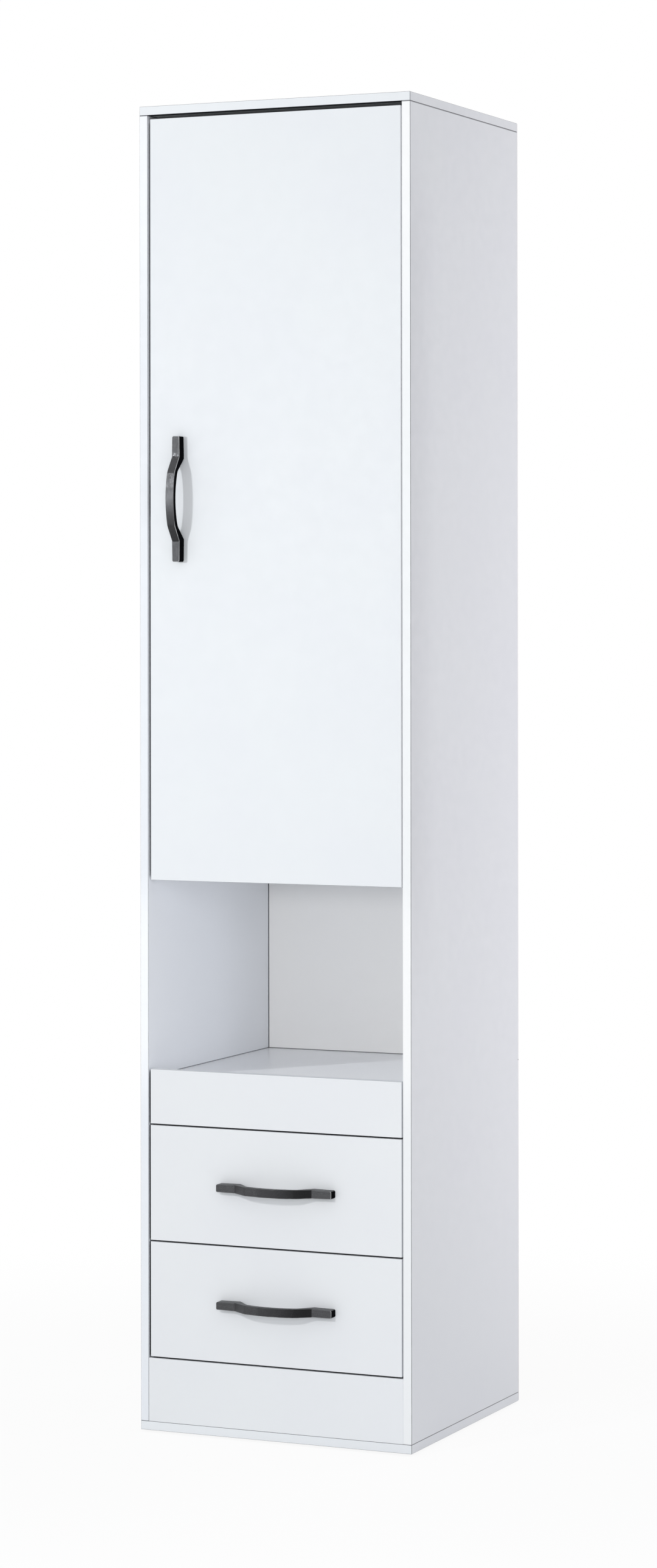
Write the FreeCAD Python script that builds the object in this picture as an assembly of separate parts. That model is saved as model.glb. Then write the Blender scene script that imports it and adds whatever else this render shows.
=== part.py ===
"""Tall storage cabinet: hinged door over an open niche, a fixed rail, two drawers and a plinth.

Millimetres. X runs across, Y to the back, Z up. The origin is on the floor, in the middle of the
cabinet's footprint, handles included. One STEP file is written for each named sub-part.
"""

import FreeCAD
import Part

import math
import os

V = FreeCAD.Vector

# Whole carcass
width = 400.0                  # across both side panels
height = 1800.0                # from the underside of the bottom panel to the top
board = 12.0                   # coated board of panels, shelves, fronts and drawer boxes
back_board = 3.0               # thin board of the back and of the drawer bottoms
back_reveal = 0.5              # the back panel stays inside the carcass outline
board_edge = 0.5               # rounding of the boards' edges

# Heights of the front, upwards from the bottom panel
plinth_height = 86.5
drawer_front_height = 156.25
front_gap = 2.0                # between fronts above each other
rail_height = 74.0
niche_lip = 11.0               # the rail stands this far above the niche floor
niche_height = 268.0           # clear height of the open niche
door_top_gap = 5.5

# Side gaps of the fronts
door_free_gap = 4.0            # at the handle side
drawer_free_gap = 3.0
hinge_side_gap = 2.0

# Bow handles
handle_length = 170.0
handle_holes = 128.0           # distance between the two screws
handle_foot = 28.0             # length of each solid foot
handle_foot_rise = 14.0        # how far a foot stands out
handle_rise = 33.0             # how far the bow stands out
handle_shoulder = 20.0         # length of each sloping part beside a foot
handle_shoulder_rise = 28.0    # height of the bow where the slope ends
handle_grip_gap = 26.0         # finger gap at the middle
handle_shoulder_gap = 19.0     # finger gap where the slope ends
handle_heel = 3.0              # the finger gap starts this far past the foot's front end
handle_width = 12.0            # at the middle of the bow
handle_foot_width = 10.5
handle_corner = 2.2            # rounding of the ends, seen from the front
handle_crease = 3.0            # rounding between foot and slope
handle_bend = 12.0             # rounding between slope and bow
handle_edge = 0.7              # rounding of the long edges
door_handle_inset = 45.0       # door's free edge to the handle's middle
drawer_handle_shift = 4.5      # drawer handles sit this far right of the fronts' middle
handle_screw_radius = 2.0
handle_screw_bite = 8.0        # thread inside the handle's foot
handle_screw_head_radius = 4.0
handle_screw_head = 2.4

# Compartment inside
shelf_count = 3
shelf_height_shares = (0.26, 0.53, 0.77)    # undersides, as shares of the clear height
shelf_setback = 30.0           # front plane to the shelves' front edges
shelf_side_gap = 0.75
shelf_rear_gap = 1.0
floor_setback = 8.0            # door's rear face to the compartment floor's front edge
shelf_pin_radius = 2.5
shelf_pin_bite = 8.0
shelf_pin_reach = 7.0
shelf_pin_collar_radius = 4.0
shelf_pin_collar = 1.5
shelf_pin_pitch = 32.0         # to the spare holes above and below
shelf_pin_inset = 45.0         # from the shelf's front and rear edges

# Carcass fasteners
fit_gap = 0.05                 # between a fixed fastener and its hole
cam_radius = 6.0
cam_depth = 9.5
cam_setback = 24.0             # joint face to the cam's middle
cam_recess = 0.3               # the cam lies this far below the board's face
cam_slot = 1.2                 # width and depth of the screwdriver cross
cam_slot_share = 0.7           # reach of the cross over the cam's radius
bolt_radius = 2.5
bolt_bite = 9.0                # thread in the board that carries the bolt
dowel_radius = 3.0
dowel_bite = 9.0
dowel_reach = 20.0
carcass_cam_inset = 50.0       # from the panels' front and rear edges to the cams
plinth_cam_share = 0.5         # height of the plinth's cams over the plinth
plinth_dowel_shares = (0.2, 0.8)
rail_cam_share = 0.3           # places along half the rail
rail_dowel_share = 0.6
nail_radius = 0.7
nail_length = 20.0
nail_head_radius = 2.2
nail_head = 0.8
nail_pitch = 200.0
nail_end_inset = 60.0
glide_radius = 9.0
glide_height = 3.0
glide_inset = 25.0             # from the outer faces to the glides' middles
glide_nail_radius = 1.0
glide_nail_length = 9.0

# Countersunk screws of all fittings
screw_radius = 1.75
screw_length = 9.5
screw_head_radius = 3.0
screw_head = 1.2
screw_slot = 0.6

# Wall bracket
bracket_leg = 30.0
bracket_width = 16.0
bracket_steel = 2.0
bracket_bore_radius = 2.75
bracket_bore_drop = 18.0       # top panel's underside to the bore
bracket_screw_inset = 20.0     # back panel to the screw in the top panel
back_bore_radius = 5.0         # way through the back panel

# Door hinges
hinge_end_inset = 90.0         # door's ends to the outer hinges
pin_from_edge = 11.0           # door's hinge edge to the pin
pin_from_face = 5.6            # door's front face to the pin
pin_radius = 1.1
running_gap = 0.05             # between a turning part and its pin
eye_wall = 0.95
cup_radius = 13.0
cup_from_edge = 4.0            # board left between the cup and the door's edge
cup_depth = 9.5
cup_wall = 0.7
flange_lip = 2.0
flange_steel = 1.2
wing_reach = 25.0              # cup's middle to the end of each wing
wing_half_width = 6.0
wing_screw_reach = 19.0
arm_steel = 2.0
arm_width = 10.0
neck_gap = 1.0                 # between the arm's neck and the cup's wall
sweep_gap = 1.0                # between the arm and the swinging door edge
arm_length = 42.0              # shoulder to the end of the arm's foot
arm_round = 0.6
plate_steel = 1.5
plate_height = 36.0
plate_screw_share = 0.68       # place of the plate's screws over half its height
plate_overhang = 4.0           # plate beyond the arm's foot
arm_screw_radius = 1.5
arm_screw_head_radius = 2.8
arm_screw_head = 1.4

# Magnetic catch
catch_width = 13.0
catch_depth = 14.0
catch_height = 44.0
catch_plate_steel = 1.0
catch_plate_width = 16.0
catch_plate_height = 26.0
catch_gap = 0.4
catch_edge = 1.0
catch_screw_share = 0.7        # place of its screws over half its height

# Drawers
runner_gap = 12.5              # side panel to drawer box
drawer_depth = 350.0           # box behind the drawer front, and its runners; sets the carcass depth
drawer_rear_gap = 25.0         # drawer box to the back panel
drawer_side_height = 120.0
drawer_raise = 14.0            # drawer front's lower edge to the box's lower edge
groove_height = 8.0            # box's lower edge to the drawer bottom
groove_depth = 5.0
groove_gap = 0.15
drawer_cam_shares = (0.3, 0.8)     # heights of the cams over the drawer side
drawer_screw_shares = (0.35, 0.8)  # heights of the rear screws over the drawer side
long_screw_length = 32.0
runner_screw_length = 8.0      # ends below the drawer bottom

# Drawer runners
runner_steel = 1.2
track_width = 10.5             # flanges of the cabinet runner, from the side panel
track_height = 2.0             # drawer box's lower edge to the track's upper face
roller_radius = 10.0
roller_width = 7.5
roller_offset = 2.3            # side panel to the rollers' outer faces
roller_gap = 0.3               # between roller and track
roller_side_gap = 0.1
roller_from_end = 14.0         # runner's end to the roller's axle
roller_groove = 1.0            # rim rounding
axle_radius = 2.5
axle_shoulder_radius = 4.0
axle_head = 0.6
flange_gap = 0.4               # between the track's upper flange and the drawer runner
cabinet_runner_start = 2.0     # drawer front's rear face to the cabinet runner
channel_start = 28.0           # drawer front's rear face to the channel's flanges
runner_screw_shares = (0.15, 0.5, 0.9)
drawer_runner_screw_shares = (0.12, 0.85)

overrun = 1.0                  # how far a cutting shape passes a face

# Places that follow
outer = width / 2
inner = outer - board
depth = board + drawer_depth + drawer_rear_gap + back_board     # front plane to the back panel's rear
front = -(depth - handle_rise) / 2
rear = front + depth
back_face = rear - back_board
front_rear = front + board                  # rear face of door, drawer fronts and rail
base = glide_height
base_top = base + board
top = base + height
top_under = top - board
plinth_top = base_top + plinth_height
lower_front_bottom = plinth_top + front_gap
upper_front_bottom = lower_front_bottom + drawer_front_height + front_gap
rail_bottom = upper_front_bottom + drawer_front_height + front_gap
rail_top = rail_bottom + rail_height
niche_floor_top = rail_top - niche_lip
niche_floor_under = niche_floor_top - board
compartment_under = niche_floor_top + niche_height
compartment_top = compartment_under + board
door_left = -inner + door_free_gap
door_right = inner - hinge_side_gap
door_bottom = compartment_under
door_top = top_under - door_top_gap
drawer_left = -inner + drawer_free_gap
drawer_right = inner - hinge_side_gap
shelf_front = front + shelf_setback
shelf_rear = back_face - shelf_rear_gap
pin_x = door_right - pin_from_edge
pin_y = front + pin_from_face
cup_x = door_right - cup_from_edge - cup_radius
box_half = inner - runner_gap               # half the drawer box's width
box_rear = front_rear + drawer_depth
hinge_heights = (
    door_bottom + hinge_end_inset,
    (door_bottom + door_top) / 2,
    door_top - hinge_end_inset,
)

solids = {}
cutters = {}


def add(node, *shapes):
    """Puts solids into a named sub-part."""
    solids.setdefault(node, []).extend(shapes)


def cut(node, *shapes):
    """Keeps cutting shapes for a named sub-part until it is written."""
    cutters.setdefault(node, []).extend(shapes)


def box(x0, x1, y0, y1, z0, z1):
    """A box between two corners."""
    return Part.makeBox(x1 - x0, y1 - y0, z1 - z0, V(x0, y0, z0))


def rod(start, end, radius):
    """A round bar from one point to another."""
    return Part.makeCylinder(radius, (end - start).Length, start, end - start)


def rounded(shape, radius):
    """Rounds every edge of a plain shape."""
    return shape.makeFillet(radius, shape.Edges)


def panel(node, x0, x1, y0, y1, z0, z1):
    """A coated board with softly rounded edges."""
    add(node, rounded(box(x0, x1, y0, y1, z0, z1), board_edge))


def placed(shape, origin, along, facing):
    """Moves a shape made at the origin: its X turns to along, its Z to facing."""
    turn = FreeCAD.Rotation(along, facing.cross(along), facing, "ZXY")
    copy = shape.copy()
    copy.Placement = FreeCAD.Placement(origin, turn).multiply(copy.Placement)
    return copy


def mirrored(shape):
    """The same shape at the other side of the cabinet."""
    return shape.mirror(V(0, 0, 0), V(1, 0, 0))


# Fasteners, each made at the origin and then placed

def cross_slot(reach, width_, depth_):
    """The cross for a screwdriver, cut down from the plane through the origin."""
    half = width_ / 2
    one = box(-reach, reach, -half, half, -depth_, overrun)
    other = box(-half, half, -reach, reach, -depth_, overrun)
    return one.fuse(other)


def cam_lock():
    """Cam disc in its board: X points into the board, Z to the face with the cam."""
    low = board / 2 - cam_depth
    high = board / 2 - cam_recess
    disc = rod(V(cam_setback, 0, low), V(cam_setback, 0, high), cam_radius)
    mouth = rod(V(0, 0, 0), V(cam_setback + bolt_radius, 0, 0), bolt_radius + fit_gap)
    cross = cross_slot(cam_radius * cam_slot_share, cam_slot, cam_slot)
    cross.translate(V(cam_setback, 0, high))
    return disc.cut([mouth, cross])


def cam_joint(bearer, holder, locks, bolts, origin, into, facing):
    """A cam in the holder board draws the bolt that is screwed into the bearer board."""
    add(locks, placed(cam_lock(), origin, into, facing))
    add(bolts, rod(origin - into * bolt_bite, origin + into * cam_setback, bolt_radius))
    centre = origin + into * cam_setback
    floor = centre + facing * (board / 2 - cam_depth - fit_gap)
    cut(holder, rod(floor, centre + facing * (board / 2 + overrun), cam_radius + fit_gap))
    cut(holder, rod(origin - into * overrun, centre, bolt_radius + fit_gap))
    cut(bearer, rod(origin - into * (bolt_bite + fit_gap), origin + into * overrun, bolt_radius + fit_gap))


def dowel_joint(bearer, holder, origin, into):
    """A wooden dowel across a joint: short in the bearer, long in the holder's end."""
    start = origin - into * dowel_bite
    end = origin + into * dowel_reach
    add("dowels", rod(start, end, dowel_radius))
    hole = rod(start - into * fit_gap, end + into * fit_gap, dowel_radius + fit_gap)
    cut(bearer, hole)
    cut(holder, hole)


def countersunk_screw(length, grow):
    """A flat-headed screw that points down from its head at the origin."""
    cone = Part.makeCone(screw_head_radius + grow, screw_radius + grow, screw_head, V(0, 0, 0), V(0, 0, -1))
    shank = rod(V(0, 0, -screw_head), V(0, 0, -length - grow), screw_radius + grow)
    return cone.fuse(shank)


def screw(node, origin, facing, through, length=screw_length):
    """Sets a countersunk screw whose head faces outwards, and drills the pieces it passes."""
    along = V(0, 0, 1) if abs(facing.z) < abs(facing.x) + abs(facing.y) else V(1, 0, 0)
    cross = cross_slot(screw_head_radius * cam_slot_share, screw_slot, screw_slot)
    add(node, placed(countersunk_screw(length, 0).cut(cross), origin, along, facing))
    for name in through:
        cut(name, placed(countersunk_screw(length, fit_gap), origin, along, facing))
        cut(name, rod(origin, origin + facing * overrun, screw_head_radius + fit_gap))


def nail(origin):
    """A nail through the back panel, driven towards the front."""
    tip = origin - V(0, nail_length, 0)
    seat = origin - V(0, nail_head, 0)
    return rod(seat, tip, nail_radius).fuse(rod(origin, seat, nail_head_radius))


def nail_hole(origin):
    """The hole of such a nail, with room for its sunk head."""
    tip = origin - V(0, nail_length + fit_gap, 0)
    seat = origin - V(0, nail_head + fit_gap, 0)
    shaft = rod(origin, tip, nail_radius + fit_gap)
    return shaft.fuse(rod(origin + V(0, overrun, 0), seat, nail_head_radius + fit_gap))


# Carcass

def carcass():
    """Outer panels, floors, rail and plinth."""
    panel("top_panel", -outer, outer, front, back_face, top_under, top)
    panel("bottom_panel", -outer, outer, front, back_face, base, base_top)
    panel("left_side_panel", -outer, -inner, front, back_face, base_top, top_under)
    panel("right_side_panel", inner, outer, front, back_face, base_top, top_under)
    floor_front = front_rear + floor_setback
    panel("compartment_floor", -inner, inner, floor_front, back_face, compartment_under, compartment_top)
    panel("niche_floor", -inner, inner, front_rear, back_face, niche_floor_under, niche_floor_top)
    panel("niche_front_rail", drawer_left, drawer_right, front, front_rear, rail_bottom, rail_top)
    panel("plinth_rail", -inner, inner, front, front_rear, base_top, plinth_top)
    edge = outer - back_reveal
    add("back_panel", box(-edge, edge, back_face, rear, base + back_reveal, top - back_reveal))


def carcass_joints():
    """Cams and dowels of the carcass."""
    cam_rows = (front + carcass_cam_inset, back_face - carcass_cam_inset)
    middle = (front + back_face) / 2
    for side, sign in (("left_side_panel", -1), ("right_side_panel", 1)):
        mid_board = sign * (inner + outer) / 2
        inward = V(-sign, 0, 0)
        for slab, joint_z, into in (
            ("top_panel", top_under, V(0, 0, -1)),
            ("bottom_panel", base_top, V(0, 0, 1)),
        ):
            for y in cam_rows:
                cam_joint(slab, side, "cam_locks", "cam_bolts", V(mid_board, y, joint_z), into, inward)
            dowel_joint(slab, side, V(mid_board, middle, joint_z), into)
        for floor, z, facing in (
            ("compartment_floor", (compartment_under + compartment_top) / 2, V(0, 0, 1)),
            ("niche_floor", (niche_floor_under + niche_floor_top) / 2, V(0, 0, -1)),
        ):
            for y in cam_rows:
                cam_joint(side, floor, "cam_locks", "cam_bolts", V(sign * inner, y, z), inward, facing)
            dowel_joint(side, floor, V(sign * inner, middle, z), inward)
        rail_mid = (front + front_rear) / 2
        plinth_cam = V(sign * inner, rail_mid, base_top + plinth_height * plinth_cam_share)
        cam_joint(side, "plinth_rail", "cam_locks", "cam_bolts", plinth_cam, inward, V(0, 1, 0))
        for share in plinth_dowel_shares:
            dowel_joint(side, "plinth_rail", V(sign * inner, rail_mid, base_top + plinth_height * share), inward)
        floor_mid = (niche_floor_under + niche_floor_top) / 2
        rail_cam = V(sign * inner * rail_cam_share, front_rear, floor_mid)
        cam_joint("niche_front_rail", "niche_floor", "cam_locks", "cam_bolts", rail_cam, V(0, 1, 0), V(0, 0, -1))
        rail_dowel = V(sign * inner * rail_dowel_share, front_rear, floor_mid)
        dowel_joint("niche_front_rail", "niche_floor", rail_dowel, V(0, 1, 0))


def back_nails():
    """Nails through the back panel into the rear edges of the boards."""
    low = base_top + nail_end_inset
    high = top_under - nail_end_inset
    steps = max(1, round((high - low) / nail_pitch))
    mid_board = (inner + outer) / 2
    spots = []
    for sign, side in ((-1, "left_side_panel"), (1, "right_side_panel")):
        for step in range(steps + 1):
            spots.append((side, sign * mid_board, low + (high - low) * step / steps))
        for name, z in (
            ("top_panel", (top_under + top) / 2),
            ("bottom_panel", (base + base_top) / 2),
            ("compartment_floor", (compartment_under + compartment_top) / 2),
            ("niche_floor", (niche_floor_under + niche_floor_top) / 2),
        ):
            spots.append((name, sign * inner / 2, z))
    for name, x, z in spots:
        add("back_panel_nails", nail(V(x, rear, z)))
        cut("back_panel", nail_hole(V(x, rear, z)))
        cut(name, nail_hole(V(x, rear, z)))


def floor_glides():
    """Nail-on glides under the bottom panel."""
    for x in (-outer + glide_inset, outer - glide_inset):
        for y in (front + glide_inset, back_face - glide_inset):
            disc = rod(V(x, y, 0), V(x, y, glide_height), glide_radius)
            lower_rim = [edge for edge in disc.Edges if edge.BoundBox.ZMax < glide_height / 2]
            disc = disc.makeFillet(glide_height / 3, lower_rim)
            tip = V(x, y, base + glide_nail_length)
            add("floor_glides", disc.fuse(rod(V(x, y, glide_height / 2), tip, glide_nail_radius)))
            cut("bottom_panel", rod(V(x, y, 0), tip + V(0, 0, fit_gap), glide_nail_radius + fit_gap))


def wall_bracket():
    """Angle under the top panel with a bore for a wall screw through the back panel."""
    half = bracket_width / 2
    leg = box(-half, half, back_face - bracket_steel, back_face, top_under - bracket_leg, top_under)
    shelf = box(-half, half, back_face - bracket_leg, back_face, top_under - bracket_steel, top_under)
    add("wall_bracket", leg.fuse(shelf).removeSplitter())
    bore_z = top_under - bracket_bore_drop
    inside = V(0, back_face - bracket_steel - overrun, bore_z)
    outside = V(0, rear + overrun, bore_z)
    cut("wall_bracket", rod(inside, outside, bracket_bore_radius))
    cut("back_panel", rod(V(0, back_face - overrun, bore_z), outside, back_bore_radius))
    seat = V(0, back_face - bracket_screw_inset, top_under - bracket_steel)
    screw("fitting_screws", seat, V(0, 0, -1), ("wall_bracket", "top_panel"))


# Shelves

def shelves():
    """Loose shelves on pins, with spare pin holes above and below."""
    clear = top_under - compartment_top
    half = inner - shelf_side_gap
    names = ("lower_shelf", "middle_shelf", "upper_shelf")
    for name, share in zip(names[:shelf_count], shelf_height_shares):
        under = compartment_top + clear * share
        panel(name, -half, half, shelf_front, shelf_rear, under, under + board)
        for y in (shelf_front + shelf_pin_inset, shelf_rear - shelf_pin_inset):
            for sign, side in ((-1, "left_side_panel"), (1, "right_side_panel")):
                shelf_pin(side, sign, y, under - shelf_pin_radius - fit_gap)


def shelf_pin(side, sign, y, z):
    """One pin in its hole in the side panel."""
    start = V(sign * (inner + shelf_pin_bite), y, z)
    face = V(sign * inner, y, z)
    shoulder = V(sign * (inner - shelf_pin_collar), y, z)
    tip = V(sign * (inner - shelf_pin_reach), y, z)
    collar = rod(face, shoulder, shelf_pin_collar_radius)
    above = z + shelf_pin_radius
    collar = collar.cut(box(-outer, outer, y - shelf_pin_pitch, y + shelf_pin_pitch, above, above + board))
    add("shelf_pins", rod(start, tip, shelf_pin_radius).fuse(collar))
    for step in (-1, 0, 1):
        lift = V(0, 0, step * shelf_pin_pitch)
        floor = start + V(sign * fit_gap, 0, 0) + lift
        cut(side, rod(face - V(sign * overrun, 0, 0) + lift, floor, shelf_pin_radius + fit_gap))


# Handles

def outline(*edges):
    """A flat face from a closed row of edges."""
    return Part.Face(Part.Wire(list(edges)))


def line(a, b):
    return Part.makeLine(a, b)


def arc(a, middle, b):
    return Part.Arc(a, middle, b).toShape()


def bow_handle():
    """A bow pull along X, centred, whose feet stand on the plane Y = 0 and which rises to -Y."""
    half = handle_length / 2
    foot = half - handle_foot
    heel = foot - handle_heel
    slope = foot - handle_shoulder

    def at(x, rise):
        return V(x, -rise, -handle_width / 2)

    side = outline(
        line(at(-half, 0), at(-half, handle_foot_rise)),
        line(at(-half, handle_foot_rise), at(-foot, handle_foot_rise)),
        line(at(-foot, handle_foot_rise), at(-slope, handle_shoulder_rise)),
        arc(at(-slope, handle_shoulder_rise), at(0, handle_rise), at(slope, handle_shoulder_rise)),
        line(at(slope, handle_shoulder_rise), at(foot, handle_foot_rise)),
        line(at(foot, handle_foot_rise), at(half, handle_foot_rise)),
        line(at(half, handle_foot_rise), at(half, 0)),
        line(at(half, 0), at(heel, 0)),
        line(at(heel, 0), at(slope, handle_shoulder_gap)),
        arc(at(slope, handle_shoulder_gap), at(0, handle_grip_gap), at(-slope, handle_shoulder_gap)),
        line(at(-slope, handle_shoulder_gap), at(-heel, 0)),
        line(at(-heel, 0), at(-half, 0)),
    )
    body = side.extrude(V(0, 0, handle_width))
    creases = edges_across(body, ((foot, handle_foot_rise),))
    body = body.makeFillet(handle_crease, creases)
    bends = edges_across(body, ((slope, handle_shoulder_rise), (slope, handle_shoulder_gap)))
    body = body.makeFillet(handle_bend, bends)
    body = body.common(handle_plan())
    long_edges = [edge for edge in body.Edges if not lies_on_front(edge)]
    return body.makeFillet(handle_edge, long_edges)


def edges_across(body, spots):
    """Edges that cross the bow's width at the named distances and rises."""
    found = []
    for edge in body.Edges:
        middle = edge.CenterOfMass
        across = edge.BoundBox.ZLength > handle_width / 2
        for x, rise in spots:
            if across and abs(abs(middle.x) - x) < fit_gap and abs(middle.y + rise) < fit_gap:
                found.append(edge)
    return found


def lies_on_front(edge):
    """True for an edge that lies wholly on the plane that the feet stand on."""
    return edge.BoundBox.YMin > -fit_gap


def handle_plan():
    """The bow's outline seen from the front: narrow, rounded ends and a wider middle."""
    half = handle_length / 2
    narrow = handle_foot_width / 2
    wide = handle_width / 2
    corners = (
        V(-half, 0, -narrow),
        V(half, 0, -narrow),
        V(half, 0, narrow),
        V(-half, 0, narrow),
    )
    face = outline(
        arc(corners[0], V(0, 0, -wide), corners[1]),
        line(corners[1], corners[2]),
        arc(corners[2], V(0, 0, wide), corners[3]),
        line(corners[3], corners[0]),
    )
    plan = face.extrude(V(0, -handle_rise - overrun, 0))
    ends = [edge for edge in plan.Edges if edge.BoundBox.YLength > handle_rise]
    return plan.makeFillet(handle_corner, ends)


def handle_with_screws(handle_node, screw_node, front_node, centre, upright):
    """Sets a handle on a front and screws it on from behind."""
    body = bow_handle()
    if upright:
        body.rotate(V(0, 0, 0), V(0, 1, 0), 90)
    body.translate(centre)
    add(handle_node, body)
    along = V(0, 0, 1) if upright else V(1, 0, 0)
    for sign in (-1, 1):
        on_face = centre + along * (sign * handle_holes / 2)
        behind = on_face + V(0, board, 0)
        tip = on_face - V(0, handle_screw_bite, 0)
        head_end = behind + V(0, handle_screw_head, 0)
        shank = rod(tip, behind, handle_screw_radius)
        head = rod(behind, head_end, handle_screw_head_radius)
        cross = cross_slot(handle_screw_head_radius * cam_slot_share, cam_slot, cam_slot)
        cross = placed(cross, head_end, V(1, 0, 0), V(0, 1, 0))
        add(screw_node, shank.fuse(head).cut(cross))
        cut(handle_node, rod(tip - V(0, fit_gap, 0), on_face + V(0, overrun, 0), handle_screw_radius + fit_gap))
        cut(front_node, rod(on_face - V(0, overrun, 0), behind + V(0, overrun, 0), handle_screw_radius + fit_gap))


# Door and hinges

def door():
    """The door with its handle."""
    panel("door_panel", door_left, door_right, front, front_rear, door_bottom, door_top)
    centre = V(door_left + door_handle_inset, front, (door_bottom + door_top) / 2)
    handle_with_screws("door_handle", "door_handle_screws", "door_panel", centre, True)


def hinge_cup(z):
    """Cup let into the door, with its flange on the door's rear face and the pin across it."""
    floor_y = front_rear - cup_depth
    shell = rod(V(cup_x, floor_y, z), V(cup_x, front_rear, z), cup_radius)
    lip = rod(V(cup_x, front_rear, z), V(cup_x, front_rear + flange_steel, z), cup_radius + flange_lip)
    wings = box(
        cup_x - wing_half_width, cup_x + wing_half_width,
        front_rear, front_rear + flange_steel,
        z - wing_reach, z + wing_reach,
    )
    body = shell.fuse([lip, wings])
    hollow_radius = cup_radius - cup_wall
    hollow = rod(V(cup_x, floor_y + cup_wall, z), V(cup_x, front_rear + flange_steel + overrun, z), hollow_radius)
    half_pin = math.sqrt((cup_radius - cup_wall / 2) ** 2 - (pin_x + pin_radius - cup_x) ** 2)
    low = V(pin_x, pin_y, z - half_pin)
    high = V(pin_x, pin_y, z + half_pin)
    pin = rod(low, high, pin_radius)
    pin_hole = rod(low - V(0, 0, cup_wall), high + V(0, 0, cup_wall), pin_radius + fit_gap)
    add("hinge_cups", body.cut([hollow, pin_hole]))
    add("hinge_pins", pin)
    pocket = rod(V(cup_x, floor_y - fit_gap, z), V(cup_x, front_rear + overrun, z), cup_radius + fit_gap)
    cut("door_panel", pocket)
    for sign in (-1, 1):
        seat = V(cup_x, front_rear + flange_steel, z + sign * wing_screw_reach)
        screw("door_fitting_screws", seat, V(0, 1, 0), ("hinge_cups", "door_panel"))


def hinge_arm(z):
    """Goose-neck arm from the plate on the side panel to the eye on the cup's pin."""
    half = arm_width / 2
    low = z - half
    high = z + half
    hollow_radius = cup_radius - cup_wall
    neck_left = cup_x - math.sqrt(hollow_radius ** 2 - half ** 2) + neck_gap
    neck_right = neck_left + arm_steel
    edge_sweep = math.hypot(pin_from_edge, max(pin_from_face, board - pin_from_face))
    shoulder = pin_y + edge_sweep + sweep_gap
    foot_right = inner - plate_steel
    foot_left = foot_right - arm_steel
    foot_end = shoulder + arm_length
    tongue_low = pin_y - arm_steel / 2
    tongue = box(neck_left, pin_x, tongue_low, tongue_low + arm_steel, low, high)
    neck = box(neck_left, neck_right, tongue_low, shoulder + arm_steel, low, high)
    reach = box(neck_left, foot_right, shoulder, shoulder + arm_steel, low, high)
    foot = box(foot_left, foot_right, shoulder, foot_end, low, high)
    strip = tongue.fuse([neck, reach, foot]).removeSplitter()
    upright = [edge for edge in strip.Edges if edge.BoundBox.ZLength > half]
    bends = [edge for edge in upright if edge.CenterOfMass.x < neck_right + fit_gap]
    strip = strip.makeFillet(arm_round, bends)
    eye_radius = pin_radius + running_gap + eye_wall
    eye = rod(V(pin_x, pin_y, low), V(pin_x, pin_y, high), eye_radius)
    bore = rod(V(pin_x, pin_y, low - overrun), V(pin_x, pin_y, high + overrun), pin_radius + running_gap)
    add("hinge_arms", strip.fuse(eye).removeSplitter().cut(bore))
    plate_half = plate_height / 2
    plate = box(foot_right, inner, shoulder, foot_end + plate_overhang, z - plate_half, z + plate_half)
    add("hinge_plates", plate)
    plate_mid = (shoulder + foot_end) / 2
    for sign in (-1, 1):
        seat = V(foot_right, plate_mid, z + sign * plate_half * plate_screw_share)
        screw("fitting_screws", seat, V(-1, 0, 0), ("hinge_plates", "right_side_panel"))
    arm_screw_y = foot_end - arm_width
    head = rod(V(foot_left - arm_screw_head, arm_screw_y, z), V(foot_left, arm_screw_y, z), arm_screw_head_radius)
    shank = rod(V(foot_left, arm_screw_y, z), V(inner - fit_gap, arm_screw_y, z), arm_screw_radius)
    add("fitting_screws", head.fuse(shank))
    hole = rod(V(foot_left - overrun, arm_screw_y, z), V(inner + fit_gap, arm_screw_y, z), arm_screw_radius + fit_gap)
    cut("hinge_arms", hole)
    cut("hinge_plates", hole)


def magnetic_catch():
    """Magnet housing on the left side panel and its steel plate on the door."""
    z = (door_bottom + door_top) / 2
    start = front_rear + catch_plate_steel + catch_gap
    half = catch_height / 2
    housing = rounded(box(-inner, -inner + catch_width, start, start + catch_depth, z - half, z + half), catch_edge)
    add("magnetic_catch", housing)
    for sign in (-1, 1):
        seat = V(-inner + catch_width, start + catch_depth / 2, z + sign * half * catch_screw_share)
        length = catch_width + screw_length
        screw("fitting_screws", seat, V(1, 0, 0), ("magnetic_catch", "left_side_panel"), length)
    left = door_left + catch_edge
    plate_half = catch_plate_height / 2
    plate_rear = front_rear + catch_plate_steel
    add("catch_plate", box(left, left + catch_plate_width, front_rear, plate_rear, z - plate_half, z + plate_half))
    seat = V(left + catch_plate_width / 2, plate_rear, z)
    screw("door_fitting_screws", seat, V(0, 1, 0), ("catch_plate", "door_panel"))


# Drawers

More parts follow.
